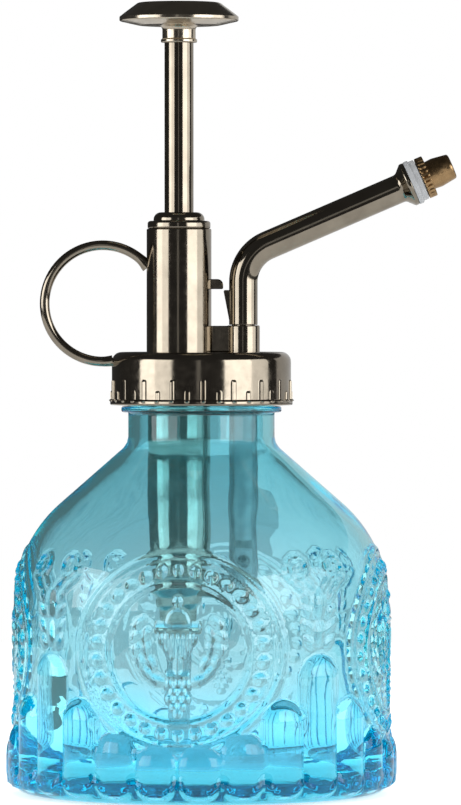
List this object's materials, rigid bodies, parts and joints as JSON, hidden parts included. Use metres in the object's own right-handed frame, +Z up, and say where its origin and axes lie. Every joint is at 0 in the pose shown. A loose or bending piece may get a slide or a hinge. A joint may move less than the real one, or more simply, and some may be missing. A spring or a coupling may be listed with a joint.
{
  "type": "hand mister",
  "caption": "Glass plant mister: fluted glass bottle with round medallions, screw cap with thumb pump, finger ring, bent swivelling spout and adjustable spray nozzle.",
  "frame": {"origin": "centre of the bottle's base, on the surface it stands on", "axes": "+Z up along the bottle, +X towards the spout, finger ring towards -X"},
  "size_m": [0.0946, 0.0822, 0.1657],
  "materials": {
    "blue_glass": "polished",
    "cap_plating": "polished",
    "barrel_plating": "polished",
    "pump_plating": "satin",
    "rod_plating": "polished",
    "knob_plating": "satin",
    "spout_plating": "polished",
    "black_rubber": "matte",
    "white_plastic": "satin",
    "clear_plastic": "gloss",
    "grey_plastic": "satin",
    "washer_plastic": "satin",
    "spring_steel": "satin",
    "nozzle_brass": "satin"
  },
  "bodies": {
    "bottle": {"glass_bottle": "blue_glass"},
    "gasket": {"neck_gasket": "black_rubber"},
    "head": {"screw_cap": "cap_plating", "barrel_sleeve": "barrel_plating", "finger_ring": "barrel_plating", "spout_socket": "barrel_plating", "gland_nut": "barrel_plating", "gland_bush": "white_plastic", "gland_seal": "black_rubber", "pump_cylinder": "pump_plating", "valve_block": "grey_plastic", "inlet_cage": "white_plastic", "dip_tube": "clear_plastic", "riser_tube": "clear_plastic", "outlet_cage": "white_plastic", "return_spring": "spring_steel"},
    "plunger": {"plunger_rod": "rod_plating", "thumb_knob": "knob_plating", "piston": "white_plastic", "piston_seal": "black_rubber", "piston_screw": "spring_steel"},
    "spout": {"spout_tube": "spout_plating", "spout_seal": "black_rubber", "nozzle_washer": "washer_plastic", "nozzle_nipple": "white_plastic"},
    "core": {"swirl_core": "white_plastic"},
    "nozzle": {"spray_nozzle": "nozzle_brass"},
    "inlet_valve": {"inlet_ball": "spring_steel"},
    "outlet_valve": {"outlet_ball": "spring_steel"}
  },
  "joints": [
    {"name": "head_rise", "type": "slide", "parent": "bottle", "child": "gasket", "axis": [0, 0, 1], "range_m": [0, 0.00481]},
    {"name": "head_unscrew", "type": "hinge", "parent": "gasket", "child": "head", "pos_m": [0, 0, 0.089], "axis": [0, 0, 1], "range_deg": [0, 540]},
    {"name": "plunger_press", "type": "slide", "parent": "head", "child": "plunger", "axis": [0, 0, -1], "range_m": [0, 0.034], "stiffness_N_per_m": 150, "springref_m": -0.012, "deforming": ["return_spring"]},
    {"name": "spout_swivel", "type": "hinge", "parent": "head", "child": "spout", "pos_m": [0.0088, 0, 0.098], "axis": [0, 0, 1], "range_deg": [-90, 90]},
    {"name": "nozzle_advance", "type": "slide", "parent": "spout", "child": "core", "axis": [0.9184, 0, 0.3955], "range_m": [0, 0.0018]},
    {"name": "nozzle_turn", "type": "hinge", "parent": "core", "child": "nozzle", "pos_m": [0.04627, 0, 0.12874], "axis": [0.9184, 0, 0.3955], "range_deg": [0, 1080]},
    {"name": "inlet_lift", "type": "slide", "parent": "head", "child": "inlet_valve", "axis": [0, 0, 1], "range_m": [0, 0.001]},
    {"name": "outlet_lift", "type": "slide", "parent": "head", "child": "outlet_valve", "axis": [0, 0, 1], "range_m": [0, 0.0015]}
  ],
  "couplings": [
    {"joint": "head_rise", "follows": "head_unscrew", "m_per_rad": 0.0005093},
    {"joint": "nozzle_turn", "follows": "nozzle_advance", "rad_per_m": 10472}
  ]
}
